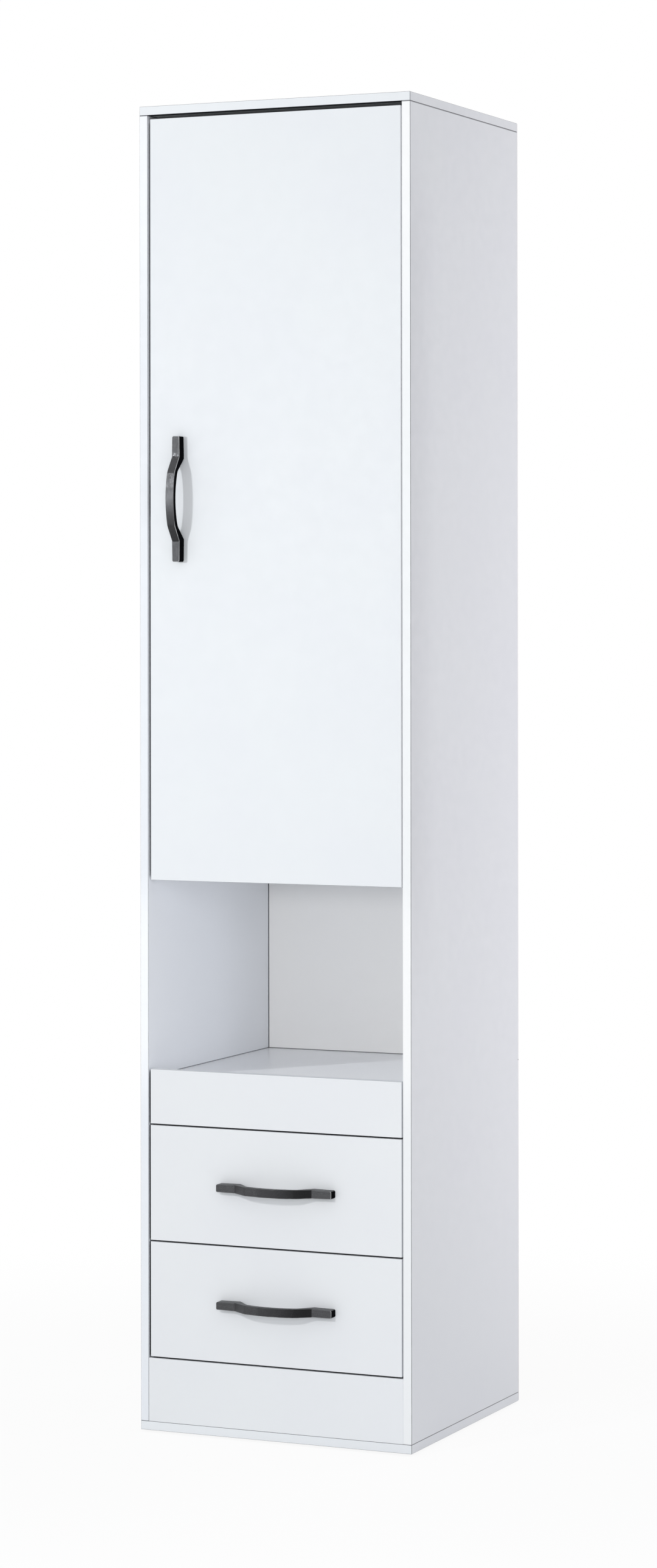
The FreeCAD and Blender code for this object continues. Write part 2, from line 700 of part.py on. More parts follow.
def drawer(name, front_bottom):
    """One drawer: front, box, handle and fasteners."""
    box_bottom = front_bottom + drawer_raise
    box_top = box_bottom + drawer_side_height
    front_node = name + "_front"
    back_node = name + "_back"
    fasteners = name + "_fasteners"
    panel(front_node, drawer_left, drawer_right, front, front_rear, front_bottom, front_bottom + drawer_front_height)
    handle_x = (drawer_left + drawer_right) / 2 + drawer_handle_shift
    centre = V(handle_x, front, front_bottom + drawer_front_height / 2)
    handle_with_screws(name + "_handle", name + "_handle_screws", front_node, centre, False)
    inside = box_half - board
    panel(back_node, -inside, inside, box_rear - board, box_rear, box_bottom, box_top)
    for side, sign in (("left", -1), ("right", 1)):
        node = name + "_" + side + "_side"
        x0, x1 = sorted((sign * inside, sign * box_half))
        panel(node, x0, x1, front_rear, box_rear, box_bottom, box_top)
        middle = (x0 + x1) / 2
        for share in drawer_cam_shares:
            joint = V(middle, front_rear, box_bottom + drawer_side_height * share)
            cam_joint(front_node, node, fasteners, fasteners, joint, V(0, 1, 0), V(-sign, 0, 0))
        for share in drawer_screw_shares:
            seat = V(sign * box_half, box_rear - board / 2, box_bottom + drawer_side_height * share)
            screw(fasteners, seat, V(sign, 0, 0), (node, back_node), long_screw_length)
    bottom_low = box_bottom + groove_height
    reach = inside + groove_depth - groove_gap
    bottom_front = front_rear - groove_depth + groove_gap
    bottom_rear = box_rear - board + groove_depth - groove_gap
    add(name + "_bottom", box(-reach, reach, bottom_front, bottom_rear, bottom_low, bottom_low + back_board))
    groove = box(
        -inside - groove_depth, inside + groove_depth,
        front_rear - groove_depth, box_rear - board + groove_depth,
        bottom_low - groove_gap, bottom_low + back_board + groove_gap,
    )
    for node in (front_node, back_node, name + "_left_side", name + "_right_side"):
        cut(node, groove)


def roller(x0, x1, y, z):
    """A roller with rounded rims and a bore that runs on its axle."""
    wheel = rod(V(x0, y, z), V(x1, y, z), roller_radius)
    rims = [edge for edge in wheel.Edges if edge.BoundBox.XLength < fit_gap]
    wheel = wheel.makeFillet(roller_groove, rims)
    return wheel.cut(rod(V(x0 - overrun, y, z), V(x1 + overrun, y, z), axle_radius + running_gap))


def axle(foot, start, end, tip, y, z):
    """A riveted axle: shoulder at its foot, journal for the roller, and a head."""
    shoulder = rod(V(foot, y, z), V(start, y, z), axle_shoulder_radius)
    journal = rod(V(foot, y, z), V(end, y, z), axle_radius)
    head = rod(V(end, y, z), V(tip, y, z), axle_shoulder_radius)
    return shoulder.fuse([journal, head])


def runners(name, front_bottom):
    """Roller runners of one drawer: left ones as modelled, right ones mirrored."""
    box_bottom = front_bottom + drawer_raise
    track = box_bottom + track_height
    face = -inner
    side = -box_half
    web = side - runner_steel
    clear = 2 * roller_radius + 2 * roller_gap
    channel_top = track + clear + runner_steel
    flange_under = channel_top + flange_gap
    roller_x0 = face + roller_offset
    roller_x1 = roller_x0 + roller_width
    near = roller_x0 - roller_side_gap
    far = roller_x1 + roller_side_gap

    fixed_web = box(face, face + runner_steel, front_rear + cabinet_runner_start, box_rear,
                    track - runner_steel, channel_top)
    start = front_rear + channel_start
    lower = box(face, face + track_width, start, box_rear, track - runner_steel, track)
    upper = box(face, face + track_width, start, box_rear, channel_top - runner_steel, channel_top)
    front_y = front_rear + roller_from_end
    front_z = flange_under - roller_gap - roller_radius
    front_axle = axle(face + runner_steel, near, far, far + axle_head, front_y, front_z)
    cabinet_runner = fixed_web.fuse([lower, upper, front_axle]).removeSplitter()

    drawer_web = box(web, side, front_rear, box_rear, box_bottom - runner_steel, flange_under + runner_steel)
    under = box(web, side + board, front_rear, box_rear, box_bottom - runner_steel, box_bottom)
    over = box(near, side, front_rear, box_rear, flange_under, flange_under + runner_steel)
    rear_y = box_rear - roller_from_end
    rear_z = track + roller_gap + roller_radius
    rear_axle = axle(web, far, near, near - axle_head, rear_y, rear_z)
    drawer_runner = drawer_web.fuse([under, over, rear_axle]).removeSplitter()

    front_roller = roller(roller_x0, roller_x1, front_y, front_z)
    rear_roller = roller(roller_x0, roller_x1, rear_y, rear_z)
    add(name + "_left_cabinet_runner", cabinet_runner)
    add(name + "_right_cabinet_runner", mirrored(cabinet_runner))
    add(name + "_left_runner", drawer_runner)
    add(name + "_right_runner", mirrored(drawer_runner))
    add(name + "_front_rollers", front_roller, mirrored(front_roller))
    add(name + "_rear_rollers", rear_roller, mirrored(rear_roller))

    for label, sign in (("left", -1), ("right", 1)):
        cabinet_node = name + "_" + label + "_cabinet_runner"
        panel_node = label + "_side_panel"
        for share in runner_screw_shares:
            seat = V(sign * (inner - runner_steel), start + (box_rear - start) * share, track + clear / 2)
            screw("fitting_screws", seat, V(-sign, 0, 0), (cabinet_node, panel_node))
        for share in drawer_runner_screw_shares:
            seat = V(sign * (box_half - board / 2), front_rear + drawer_depth * share, box_bottom - runner_steel)
            through = (name + "_" + label + "_runner", name + "_" + label + "_side")
            screw(name + "_fasteners", seat, V(0, 0, -1), through, runner_screw_length)


# Build and write

def near_to(shape, tool):
    """True where the boxes round two shapes meet."""
    return shape.BoundBox.intersect(tool.BoundBox)


def finished(node):
    """The solids of a sub-part with all its holes and pockets."""
    done = []
    for shape in solids[node]:
        tools = [tool for tool in cutters.get(node, []) if near_to(shape, tool)]
        result = shape.cut(tools) if tools else shape
        done.extend(result.Solids)
    return done


def write_parts():
    """Writes every sub-part to its own file."""
    os.makedirs("parts", exist_ok=True)
    for node in sorted(solids):
        pieces = finished(node)
        shape = pieces[0] if len(pieces) == 1 else Part.makeCompound(pieces)
        shape.exportStep(os.path.join("parts", node + ".step"))
        print(node, len(pieces), round(sum(piece.Volume for piece in pieces), 1))


def build():
    """Makes the whole cabinet."""
    carcass()
    carcass_joints()
    back_nails()
    floor_glides()
    wall_bracket()
    shelves()
    door()
    for z in hinge_heights:
        hinge_cup(z)
        hinge_arm(z)
    magnetic_catch()
    for name, front_bottom in (("upper_drawer", upper_front_bottom), ("lower_drawer", lower_front_bottom)):
        drawer(name, front_bottom)
        runners(name, front_bottom)


build()
write_parts()
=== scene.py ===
import math

import bpy
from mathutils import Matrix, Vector


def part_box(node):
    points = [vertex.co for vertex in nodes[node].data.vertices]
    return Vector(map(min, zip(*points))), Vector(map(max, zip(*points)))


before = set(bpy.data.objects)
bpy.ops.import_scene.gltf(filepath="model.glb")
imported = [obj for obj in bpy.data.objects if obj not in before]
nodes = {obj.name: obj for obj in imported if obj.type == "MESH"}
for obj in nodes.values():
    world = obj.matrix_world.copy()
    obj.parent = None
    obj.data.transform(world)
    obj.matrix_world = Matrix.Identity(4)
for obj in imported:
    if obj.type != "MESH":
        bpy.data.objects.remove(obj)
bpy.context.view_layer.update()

# Groups of nodes
drawers = ("upper_drawer", "lower_drawer")
niche_faces = ("niche_floor", "back_panel")
low_faces = ("niche_front_rail", "upper_drawer_front", "lower_drawer_front", "plinth_rail")
fronts = ("door_panel",) + low_faces

# Places read from the model's own nodes, in metres
side_low, side_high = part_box("right_side_panel")
front_plane = side_low[1]
inner_x = side_low[0]
outer_x = side_high[0]
niche_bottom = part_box("niche_floor")[1][2]
niche_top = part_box("compartment_floor")[0][2]
niche_floor_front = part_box("niche_floor")[0][1]
door_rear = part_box("door_panel")[1][1]

# Camera
camera_place = (2.2342, -4.993, 1.1249)
camera_level = 90.0            # degrees up from looking straight down
camera_roll = 0.07             # degrees
camera_turn = 24.0945          # degrees to the left of the cabinet's depth
camera_lens = 90.878           # mm
sensor_width = 36.0            # mm
camera_shift = -0.1143         # share of the picture's longer side
nearest_seen = 0.1             # metres
farthest_seen = 200.0

# Light from all round
paper_white = (1.0, 1.0, 1.0)
white_level = 1.0              # strength at which a surface or the surroundings are plain white
fill_level = 0.62              # light from all round on matt surfaces
fill_tint = (0.985, 0.99, 1.0)

# Lamps: places and sizes in metres, power in watts
key_tint = (0.965, 0.99, 1.0)
drawer_tint = (1.0, 0.985, 0.975)
niche_tint = (1.0, 0.985, 0.965)
wall_tint = (0.89, 0.925, 1.0)
side_tint = (0.97, 0.91, 1.0)
door_middle = (0.0, -0.18, 0.95)
drawers_middle = (0.0, -0.18, 0.25)
front_middle = (0.0, -0.18, 1.0)
lamp_settings = {
    "key": {
        "place": (-1.22, -2.9, 1.45),
        "target": door_middle,
        "size": 0.2,
        "power": 24.5,
        "tint": key_tint,
        "link": ("EXCLUDE", niche_faces + low_faces),
    },
    "drawer_key": {
        "place": (0.05, -2.9, 1.45),
        "target": drawers_middle,
        "size": 0.2,
        "power": 18.0,
        "tint": drawer_tint,
        "link": ("INCLUDE", low_faces),
    },
    "niche_key": {
        "place": (-1.75, -2.3, 1.55),
        "target": (0.0, 0.0, 0.5),
        "size": 0.08,
        "power": 40.0,
        "tint": key_tint,
        "link": ("INCLUDE", niche_faces),
    },
    "niche_front_lamp": {
        "place": (0.35, -4.1, 1.14),
        "target": (-0.1, 0.2, 0.62),
        "size": 0.55,
        "power": 38.0,
        "tint": niche_tint,
        "link": ("INCLUDE", niche_faces),
    },
    "niche_wall": {
        "place": (2.15, -1.95, 0.85),
        "target": (-0.188, -0.07, 0.5),
        "size": 1.3,
        "power": 20.8,
        "tint": wall_tint,
        "link": ("INCLUDE", ("left_side_panel",)),
    },
    "front_fill": {
        "place": (-0.7, -4.2, 1.35),
        "target": front_middle,
        "size": 1.6,
        "power": 22.0,
        "tint": key_tint,
        "link": ("EXCLUDE", niche_faces + fronts),
    },
    "gap_fill": {              # shines into the gaps on the hinge side
        "place": (1.9, -4.2, 1.25),
        "target": front_middle,
        "size": 1.0,
        "power": 28.0,
        "tint": key_tint,
        "link": ("INCLUDE", fronts),
    },
    "side_fill": {
        "place": (0.95, 1.2, 1.0),
        "target": (0.2, 0.0, 1.0),
        "size": 0.6,
        "tall": 2.2,
        "power": 7.5,
        "tint": side_tint,
    },
}

# Floor
floor_half = 30.0
floor_white_share = 0.92       # of plain white, that the camera sees in the floor near the cabinet
floor_grey = (0.85, 0.85, 0.85)
floor_pool = 0.5               # from the middle to where the floor starts to melt into white
floor_melt = 1.6               # from the middle to where it is white

# Boards: colours
board_white = (0.835, 0.86, 0.885)
board_mottle = (0.826, 0.849, 0.88)
inner_white = (0.91, 0.925, 0.955)       # faces inside the carcass, lighter than the boards' white: painted light for faces in shade
inner_mottle = (0.9, 0.917, 0.945)
# The back panel's coat, also lighter than the boards' white: painted light for faces in shade
back_white = (0.9, 0.9, 0.9)
back_mottle = (0.885, 0.888, 0.892)
left_band = (0.735, 0.757, 0.79)         # front edge band of the left side panel, darker than the right's: painted shade
left_band_light = (0.83, 0.845, 0.865)   # the same, lighter beside the niche and near the top: painted light
# The right side panel's edge band, lighter than the left's and lighter again beside the niche and near
# the top: painted light
right_band = (0.895, 0.91, 0.925)
right_band_light = (0.965, 0.97, 0.975)
door_band = (0.965, 0.97, 0.98)          # edge band on the door's upright edges
floor_light = (0.92, 0.93, 0.95)         # the niche's floor, lighter than the boards' white: painted light
floor_shade = (0.91, 0.92, 0.945)
paper_grey = (0.7, 0.71, 0.74)           # fine grain of the coating's paper
# Painted shade for narrow gaps and for the dim strip on the right side
painted_shade = (0.03, 0.032, 0.04)
edge_grey = (0.085, 0.09, 0.1)           # painted shade on the rounded edges of the carcass boards
arris_grey = (0.3, 0.31, 0.34)           # painted shade on the rounded edges of the fronts
seam_grey = (0.33, 0.34, 0.37)
joint_dark = (0.045, 0.047, 0.055)       # where boards meet in a corner
end_grey = (0.16, 0.165, 0.18)           # seams against the top and bottom panels
core_tan = (0.5, 0.37, 0.235)
core_dark = (0.3, 0.2, 0.12)

# Boards: sizes in metres
seam_from_front = 0.0011       # behind the front edge, on the outer faces
seam_half = 0.00022
joint_half = 0.00045
end_half = 0.00035             # the seam against the bottom panel
top_end_half = 0.0005
core_depth = 0.0007            # how far inside the coating a hole's wall counts as raw board
crevice_reach = 0.009          # how near another board must be for painted shade in a narrow gap
top_gap_reach = 0.015          # the same in the gap over the door
face_near = 0.001              # a side panel's face lies nearer to its plane than this
face_far = 0.002               # and anything beyond this is no part of it
gap_depth = 0.002              # behind the door's rear face, where the painted shade of the top gap ends

# Side panels: where, in metres, the painted light on an edge band and the painted shade on the outer face
# change
light_under_niche = 0.07       # below the niche's floor, where the band starts to turn lighter
light_in_niche = 0.05          # above it, where the band is light
light_under_ceiling = 0.08     # below the niche's ceiling, where it starts to turn back
light_over_ceiling = 0.03
light_near_top = (1.4, 1.75)
dim_width = 0.1                # strip of painted shade on the right side's outer face, behind its front edge
dim_share = 0.1                # how dim it is at the edge
dim_from = (0.55, 0.85)
dim_to = (1.55, 1.8)

# Boards: shares
joint_share = 0.7
seam_share = 0.8
scuff_share = 0.5
end_share = 0.8
bottom_end_share = 0.5
foot_joint_share = 0.8
niche_floor_polish = 0.55      # its roughness as a share of the other boards'
plain_gloss = 0.5
full_dark = 0.95               # painted shade on a front's level edges and on its left ones
drawer_right_dark = 0.3        # painted shade on the right edges of the drawer fronts and rails
door_right_dark = 0.0

# Painted shade in narrow gaps: occlusion where it is darkest, occlusion where it ends, most of it
front_gap = (0.06, 0.3, 0.9)
side_gap = (0.22, 0.3, 0.98)
end_gap = (0.12, 0.6, 0.9)
top_gap = (0.7, 0.95, 0.98)

# How far a surface faces along an axis, where one tone gives way to another
turned = (0.7, 0.9)
turned_ahead = (-0.9, -0.7)
turned_down = (-0.9, -0.5)
raw_turned = (0.5, 0.7)
leaning = (0.1, 0.3)
leaning_left = (-0.5, -0.1)

# Rounded edges: strongest part of the normal where the share is full, and where it ends
soft_edge = (0.8, 0.97)
full_edge = (0.95, 0.998)
arris_lean = (0.12, 0.3)       # lean at which a handle's worn and highlighted edge starts
arris_lean_end = (0.93, 0.99)

# Noise: blotches to the metre, detail, roughness
board_clouds = (7.0, 3.0, 0.55)
paper_grain = (1400.0, 2.0, 0.6)
gloss_clouds = (60.0, 3.0, 0.6)
skin_grain = (700.0, 2.0, 0.5)
edge_shade_clouds = (40.0, 3.0, 0.7)
chip_grain = (900.0, 3.0, 0.7)
back_clouds = (5.0, 2.0, 0.5)
fibre_grain = (420.0, 5.0, 0.75)
fleck_grain = (900.0, 2.0, 0.5)
back_grain = (1100.0, 1.0, 0.5)
plate_clouds = (120.0, 3.0, 0.6)
coat_clouds = (25.0, 2.0, 0.5)
coat_pebbles = (1500.0, 2.0, 0.5)
plastic_clouds = (180.0, 2.0, 0.5)
plastic_skin = (2400.0, 2.0, 0.5)
stretched_streaks = (1.0, 3.0, 0.6)      # on a stretched place
stretched_grain = (1.0, 4.0, 0.6)

# Parts of a noise's range
most_of_it = (0.3, 0.7)
middle_of_it = (0.35, 0.65)
board_cloud_part = (0.36, 0.66)
glint_part = (0.48, 0.68)

# Shares and factors that a part of a noise's range is turned into
paper_share = (0.0, 0.05)
back_cloud_share = (0.0, 0.25)
bend_speck_factor = (0.3, 1.5)
handle_grain_factor = (0.55, 1.45)

# The same, each with its own part of the range first
edge_shade_range = (0.35, 0.6, 0.78, 0.95)
fleck_share = (0.62, 0.72, 0.0, 0.5)
bend_patch_factor = (0.35, 0.55, 0.45, 1.0)
handle_wear_and_highlight_share = (0.35, 0.7, 0.45, 1.0)
streak_factor = (0.5, 0.75, 1.0, 1.35)
handle_rough = (0.3, 0.75, 0.34, 0.5)

# Roughness: least and most
board_rough = (0.5, 0.58)
back_rough = (0.5, 0.85)       # coated face, raw face
zinc_rough = (0.26, 0.42)
die_cast_rough = (0.4, 0.55)
nickel_rough = (0.16, 0.28)
coat_rough = (0.3, 0.42)
roller_rough = (0.37, 0.47)
glide_rough = (0.45, 0.55)
catch_rough = (0.35, 0.45)
beech_rough = 0.65

# Index of refraction
coating_index = 1.5
back_index = 1.45
plastic_index = 1.5

# Scuffs: rare dots in a pattern of cells
scuff_cells = 9.0              # to the metre
scuff_dot = (0.006, 0.011)     # from a cell's middle, as a share of its width
scuff_rare = (0.86, 0.88)      # only cells whose own colour is redder than this

# Fine relief: height of the marks in metres, and how strongly they show
board_relief = (0.00002, 0.3)
back_relief = (0.00008, 0.4)
streak_relief = (0.00002, 0.35)
grain_relief = (0.000012, 0.3)
plate_relief = (0.00002, 0.3)
coat_relief = (0.00005, 0.4)
plastic_relief = (0.00003, 0.3)
beech_relief = (0.0001, 0.4)

# Handles
handle_side = (0.006, 0.006, 0.007)
# Light arrises: partly wear, partly painted highlight
handle_edge = (0.55, 0.56, 0.57)
handle_tint = (0.98, 0.99, 1.04)
handle_foot = 0.028            # length of a foot, in metres
handle_blend = 0.001           # over which one tone turns into the next
tip_length = 0.003             # how near the ends their arrises are worn and highlighted
# Tones of a foot, of the bow's near and far end, which is painted shade darkening it towards the far end,
# and of the painted highlights at the near bend and crease
upright_tones = {"foot": 0.040, "near": 0.082, "far": 0.046, "bend": 0.19, "glint": 0.2}
level_tones = {"foot": 0.072, "near": 0.074, "far": 0.020, "bend": 0.074, "glint": 0.074}
upright_middle_shine = 0.2     # of the worn and highlighted edges, at the middle of the bow
level_middle_shine = 0.9
front_lean = (0.6, 0.86)       # how far a face looks ahead to count as front
top_lean = (0.6, 0.9)
top_share = 0.85
arris_ahead = (0.1, 0.2)
shine_shares = (0.3, 0.5)      # of half the length, over which the worn and highlighted edges come back to full
bow_share = 0.55               # of half the length, over which the painted shade of the bow changes
bend_start_shares = (0.15, 0.24)
bend_end_shares = (0.39, 0.415)
glint_before = (0.003, 0.001)  # where the painted glint starts, ahead of the crease between bow and foot, in metres
glint_after = (0.003, 0.007)   # behind it
handle_grain = (2100.0, 3.0, 0.8)
handle_wear_and_highlight = (70.0, 3.0, 0.6)
bend_specks = (1100.0, 3.0, 0.75)
bend_patches = (130.0, 2.0, 0.6)
glint_grain = (600.0, 3.0, 0.8)
streak_fine = 2600.0           # streaks to the metre across the brushing
streak_long = 160.0            # and along it

# Sockets of the mix node that carry colours
mix_first = 6
mix_second = 7
mix_result = 2


class Graph:
    """Adds nodes to a material and links them."""

    def __init__(self, name):
        self.material = bpy.data.materials.new(name)
        self.material.use_nodes = True
        self.nodes = self.material.node_tree.nodes
        self.links = self.material.node_tree.links
        self.shader = self.nodes["Principled BSDF"]
        coordinates = self.nodes.new("ShaderNodeTexCoord")
        self.place = coordinates.outputs["Object"]
        self.facing = coordinates.outputs["Normal"]

    def plug(self, source, target):
        """Links an output to an input, or sets the input to a number or a colour."""
        if isinstance(source, bpy.types.NodeSocket):
            self.links.new(source, target)
        elif isinstance(source, tuple) and len(target.default_value) == len(source) + 1:
            target.default_value = (*source, 1.0)
        else:
            target.default_value = source

    def math(self, kind, *values):
        """A sum on numbers."""
        node = self.nodes.new("ShaderNodeMath")
        node.operation = kind
        for value, socket in zip(values, node.inputs):
            self.plug(value, socket)
        return node.outputs[0]

    def unsigned(self, value):
        """A number without its sign."""
        return self.math("ABSOLUTE", value)

    def axes(self, vector):
        """The three parts of a vector."""
        node = self.nodes.new("ShaderNodeSeparateXYZ")
        self.links.new(vector, node.inputs[0])
        return node.outputs

    def stretched(self, scale):
        """Object place, stretched by three numbers."""
        node = self.nodes.new("ShaderNodeMapping")
        node.inputs["Scale"].default_value = scale
        self.links.new(self.place, node.inputs["Vector"])
        return node.outputs[0]

    def noise(self, scale, detail, roughness, vector=None):
        """Soft noise with so many blotches to the metre."""
        node = self.nodes.new("ShaderNodeTexNoise")
        node.inputs["Scale"].default_value = scale
        node.inputs["Detail"].default_value = detail
        node.inputs["Roughness"].default_value = roughness
        self.links.new(vector or self.place, node.inputs["Vector"])
        return node.outputs["Fac"]

    def cells(self, scale):
        """Distance to the nearest cell's middle, and the cell's own colour."""
        node = self.nodes.new("ShaderNodeTexVoronoi")
        node.inputs["Scale"].default_value = scale
        self.links.new(self.place, node.inputs["Vector"])
        return node.outputs["Distance"], node.outputs["Color"]

    def between(self, value, low, high, out_low=0.0, out_high=1.0, smooth=True):
        """Carries a value from one range to another, held at the ends."""
        node = self.nodes.new("ShaderNodeMapRange")
        node.interpolation_type = "SMOOTHSTEP" if smooth else "LINEAR"
        node.clamp = True
        self.links.new(value, node.inputs["Value"])
        node.inputs["From Min"].default_value = low
        node.inputs["From Max"].default_value = high
        node.inputs["To Min"].default_value = out_low
        node.inputs["To Max"].default_value = out_high
        return node.outputs["Result"]

    def fall(self, value, low, high):
        """1 below a range, 0 above it."""
        return self.between(value, low, high, 1.0, 0.0)

    def times(self, *values):
        """Numbers multiplied together."""
        product = values[0]
        for value in values[1:]:
            product = self.math("MULTIPLY", product, value)
        return product

    def blend(self, share, first, second):
        """Mixes two numbers."""
        return self.math("ADD", first, self.times(share, self.math("SUBTRACT", second, first)))

    def line(self, along, place, half):
        """Share of a thin line at a place on an axis."""
        away = self.unsigned(self.math("SUBTRACT", along, place))
        return self.fall(away, half, half * 2)

    def slope(self, tilt):
        """Share of a rounded edge, by how far its surface leans from the front towards a side."""
        return self.times(self.between(tilt, *arris_lean), self.fall(tilt, *arris_lean_end))

    def mix(self, share, first, second):
        """Mixes two colours."""
        node = self.nodes.new("ShaderNodeMix")
        node.data_type = "RGBA"
        self.plug(share, node.inputs["Factor"])
        self.plug(first, node.inputs[mix_first])
        self.plug(second, node.inputs[mix_second])
        return node.outputs[mix_result]

    def crevice(self, gap, reach=crevice_reach):
        """Share of painted shade where another surface is very near."""
        closed, wide, most = gap
        node = self.nodes.new("ShaderNodeAmbientOcclusion")
        node.inputs["Distance"].default_value = reach
        return self.between(node.outputs["AO"], closed, wide, most, 0.0)

    def rounding(self, full, none):
        """Share of a surface that is a board's rounded edge."""
        facing = self.axes(self.facing)
        strongest = self.math("MAXIMUM", self.unsigned(facing[0]), self.unsigned(facing[1]))
        strongest = self.math("MAXIMUM", strongest, self.unsigned(facing[2]))
        return self.fall(strongest, full, none)

    def bump(self, height, distance, strength, normal=None):
        """Raises the surface by a height of 0 to 1 over a distance in metres."""
        node = self.nodes.new("ShaderNodeBump")
        node.inputs["Strength"].default_value = strength
        node.inputs["Distance"].default_value = distance
        self.links.new(height, node.inputs["Height"])
        if normal is not None:
            self.links.new(normal, node.inputs["Normal"])
        return node.outputs[0]

    def finish(self, color, roughness, normal, metallic=0.0, **others):
        """Sets the shader and gives the material."""
        self.plug(color, self.shader.inputs["Base Color"])
        self.plug(roughness, self.shader.inputs["Roughness"])
        self.plug(metallic, self.shader.inputs["Metallic"])
        self.links.new(normal, self.shader.inputs["Normal"])
        for name, value in others.items():
            self.plug(value, self.shader.inputs[name.replace("_", " ")])
        return self.material


# Coated boards

def melamine(graph, light=board_white, shade=board_mottle):
    """Colour, roughness and bump of a white coated board."""
    clouds = graph.between(graph.noise(*board_clouds), *board_cloud_part)
    color = graph.mix(clouds, light, shade)
    paper = graph.between(graph.noise(*paper_grain), *most_of_it, *paper_share)
    color = graph.mix(paper, color, paper_grey)
    roughness = graph.between(graph.noise(*gloss_clouds), *most_of_it, *board_rough)
    peel = graph.bump(graph.noise(*skin_grain), *board_relief)
    return color, roughness, peel


def scuffs(graph):
    """Share of rare small specks left by handling."""
    near, cell = graph.cells(scuff_cells)
    red = graph.axes(cell)[0]
    return graph.times(graph.fall(near, *scuff_dot), graph.between(red, *scuff_rare))


def raw_core(graph, low, high):
    """Share of a surface that lies inside the board's coating, such as the wall of a hole."""
    place = graph.axes(graph.place)
    shares = []
    for axis in range(3):
        middle = (low[axis] + high[axis]) / 2
        half = (high[axis] - low[axis]) / 2
        away = graph.unsigned(graph.math("SUBTRACT", place[axis], middle))
        shares.append(graph.fall(away, half - core_depth, half - core_depth / 2))
    chips = graph.mix(graph.noise(*chip_grain), core_dark, core_tan)
    return graph.times(*shares), chips


def plain_board(name, light=board_white, shade=board_mottle):
    """A board that shows nothing but its coating."""
    graph = Graph(name)
    color, roughness, peel = melamine(graph, light, shade)
    return graph.finish(color, roughness, peel, IOR=coating_index)


def niche_floor_board(name):
    """The niche's floor: the same coating, lighter as painted light, and rubbed a little smoother."""
    graph = Graph(name)
    color, roughness, peel = melamine(graph, floor_light, floor_shade)
    return graph.finish(color, graph.times(roughness, niche_floor_polish), peel, IOR=coating_index)


def front_board(name, edges, left_dark, right_dark, band=None):
    """A board at the front, with painted shade on its rounded edges and in narrow gaps, more or less so
    on its left and right.
    """
    graph = Graph(name)
    color, roughness, peel = melamine(graph)
    facing = graph.axes(graph.facing)
    if band:
        sideways = graph.between(graph.unsigned(facing[0]), *turned)
        color = graph.mix(sideways, color, band)
    level = graph.between(graph.unsigned(facing[2]), *leaning)
    upright = graph.between(facing[0], *leaning_left, left_dark, right_dark)
    arris = graph.times(graph.rounding(*edges), graph.blend(level, upright, full_dark))
    color = graph.mix(arris, color, arris_grey)
    gap = graph.times(graph.crevice(front_gap), graph.blend(level, right_dark, full_dark))
    color = graph.mix(gap, color, painted_shade)
    return graph.finish(color, roughness, peel, IOR=coating_index)


def seam_and_scuffs(graph, color, sideways, outward):
    """Adds the fine seam of the front edge band on the outer faces, and rare scuffs."""
    place = graph.axes(graph.place)
    seam = graph.line(place[1], front_plane + seam_from_front, seam_half)
    color = graph.mix(graph.times(seam, sideways, outward, seam_share), color, seam_grey)
    return graph.mix(graph.times(scuffs(graph), scuff_share), color, seam_grey)


def shaded_edges(graph):
    """Share of painted shade on a carcass board's rounded edges, a little uneven along them."""
    edge_share = graph.between(graph.noise(*edge_shade_clouds), *edge_shade_range)
    return graph.times(graph.rounding(*full_edge), edge_share)


def edge_band(graph, height, band, light_band):
    """Colour of a side panel's front edge band, with painted light beside the niche and near the top."""
    above_floor = graph.between(height, niche_bottom - light_under_niche, niche_bottom + light_in_niche)
    below_ceiling = graph.fall(height, niche_top - light_under_ceiling, niche_top + light_over_ceiling)
    near_top = graph.between(height, *light_near_top)
    light = graph.math("MAXIMUM", graph.times(above_floor, below_ceiling), near_top)
    return graph.mix(light, band, light_band)


def side_board(name, node, band, light_band, dim_strip):
    """A side panel, with painted shade either as a dim strip on its outer face or in the gap beside the
    door, and lighter inner faces as painted light.
    """
    graph = Graph(name)
    color, roughness, peel = melamine(graph)
    place = graph.axes(graph.place)
    facing = graph.axes(graph.facing)
    reach = graph.unsigned(place[0])
    sideways = graph.between(graph.unsigned(facing[0]), *turned)
    inward = graph.fall(reach, inner_x + face_near, inner_x + face_far)
    outward = graph.between(reach, outer_x - face_far, outer_x - face_near)
    forward = graph.fall(facing[1], *turned_ahead)
    color = graph.mix(graph.times(inward, sideways), color, inner_white)
    corner = graph.line(place[2], niche_bottom + joint_half, joint_half)
    behind = graph.between(place[1], niche_floor_front, niche_floor_front + joint_half)
    color = graph.mix(graph.times(corner, behind, inward, joint_share), color, joint_dark)
    color = graph.mix(forward, color, edge_band(graph, place[2], band, light_band))
    color = seam_and_scuffs(graph, color, sideways, outward)
    edge = shaded_edges(graph)
    if dim_strip:
        edge = graph.times(edge, outward)
        # Painted shade: a dim strip behind the front edge of the outer face
        near_front = graph.between(place[1], front_plane, front_plane + dim_width, dim_share, 0.0)
        upper = graph.times(graph.between(place[2], *dim_from), graph.fall(place[2], *dim_to))
        color = graph.mix(graph.times(near_front, upper, sideways, outward), color, painted_shade)
    else:
        color = graph.mix(graph.crevice(side_gap), color, painted_shade)
    color = graph.mix(edge, color, edge_grey)
    low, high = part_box(node)
    bottom_end = graph.times(graph.line(place[2], low[2] + end_half, end_half), bottom_end_share)
    top_end = graph.line(place[2], high[2] - top_end_half, top_end_half)
    ends = graph.math("MAXIMUM", bottom_end, top_end)
    color = graph.mix(graph.times(ends, end_share), color, end_grey)
    inside, chips = raw_core(graph, low, high)
    color = graph.mix(inside, color, chips)
    return graph.finish(color, roughness, peel, IOR=coating_index)


